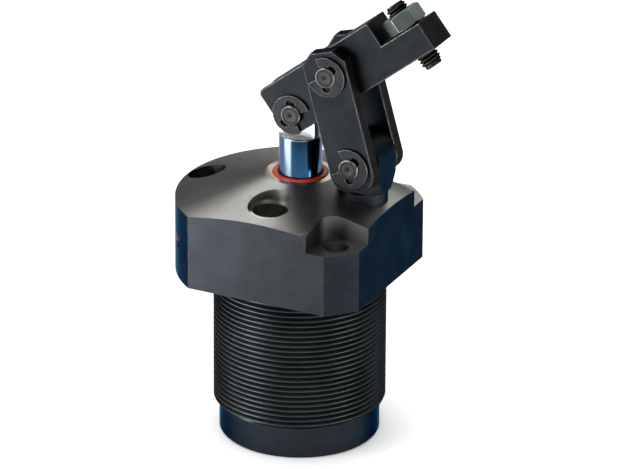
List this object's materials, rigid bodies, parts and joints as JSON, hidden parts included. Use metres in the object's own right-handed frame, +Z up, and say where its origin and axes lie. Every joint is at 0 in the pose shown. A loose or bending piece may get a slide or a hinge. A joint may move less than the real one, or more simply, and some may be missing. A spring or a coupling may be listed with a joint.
{
  "type": "hydraulic link clamp",
  "caption": "Single-acting hydraulic clamp: threaded barrel with a bolted top flange, a rising rod, and a link-guided lever that swings down to press a contact screw on the work.",
  "frame": {"origin": "centre of the flat base, on the rod's axis", "axes": "+Z up the rod, +X from the rod towards the lever's nose, +Y the rear side"},
  "size_m": [0.0771, 0.0556, 0.1326],
  "materials": {
    "black_steel": "black oxide on turned and milled steel",
    "chrome_rod": "ground and hard chromed",
    "red_seal": "smooth moulded polyurethane",
    "bronze": "turned bearing bronze",
    "bright_steel": "turned steel",
    "black_rubber": "nitrile rubber",
    "spring_steel": "phosphated spring steel",
    "wear_plastic": "filled bearing plastic",
    "zinc_steel": "zinc plated steel",
    "screw_steel": "black oxide on a threaded screw",
    "pin_steel": "hardened, oil blackened steel with worn ends"
  },
  "bodies": {
    "housing": {"clamp_body": "black_steel", "rod_bushing": "bronze", "wiper_seal": "red_seal", "end_cap": "bright_steel", "end_cap_seal": "black_rubber", "end_cap_ring": "spring_steel", "return_spring": "spring_steel", "pivot_post": "black_steel", "lower_pin": "pin_steel", "lower_pin_clip_front": "spring_steel", "lower_pin_clip_rear": "spring_steel"},
    "rod": {"piston_rod": "chrome_rod", "piston": "bright_steel", "piston_seal": "black_rubber", "piston_wear_ring": "wear_plastic", "piston_nut": "zinc_steel"},
    "lever": {"lever": "black_steel", "rod_pin": "pin_steel", "rod_pin_clip_front": "spring_steel", "rod_pin_clip_rear": "spring_steel", "lock_nut": "zinc_steel"},
    "links": {"link_front": "black_steel", "link_rear": "black_steel", "upper_pin": "pin_steel", "upper_pin_clip_front": "spring_steel", "upper_pin_clip_rear": "spring_steel"},
    "contact_screw": {"contact_screw": "screw_steel"}
  },
  "joints": [
    {"name": "rod_stroke", "type": "slide", "parent": "housing", "child": "rod", "axis": [0, 0, 1], "range_m": [-0.006, 0.012], "deforming": ["return_spring"]},
    {"name": "lever_swing", "type": "hinge", "parent": "rod", "child": "lever", "pos_m": [0, 0, 0.0957], "axis": [0, -1, 0], "range_deg": [-37.76, 18.98]},
    {"name": "link_swing", "type": "hinge", "parent": "housing", "child": "links", "pos_m": [0.0196, 0, 0.085], "axis": [0, -1, 0], "range_deg": [-18.68, 9.44]},
    {"name": "contact_screw_adjust", "type": "slide", "parent": "lever", "child": "contact_screw", "axis": [-0.6225, 0, 0.7826], "range_m": [-0.0024, 0.004]}
  ],
  "couplings": [
    {"joint": "lever_swing", "follows": "rod_stroke", "rad_per_m": -54.629},
    {"joint": "link_swing", "follows": "rod_stroke", "rad_per_m": -26.878}
  ]
}
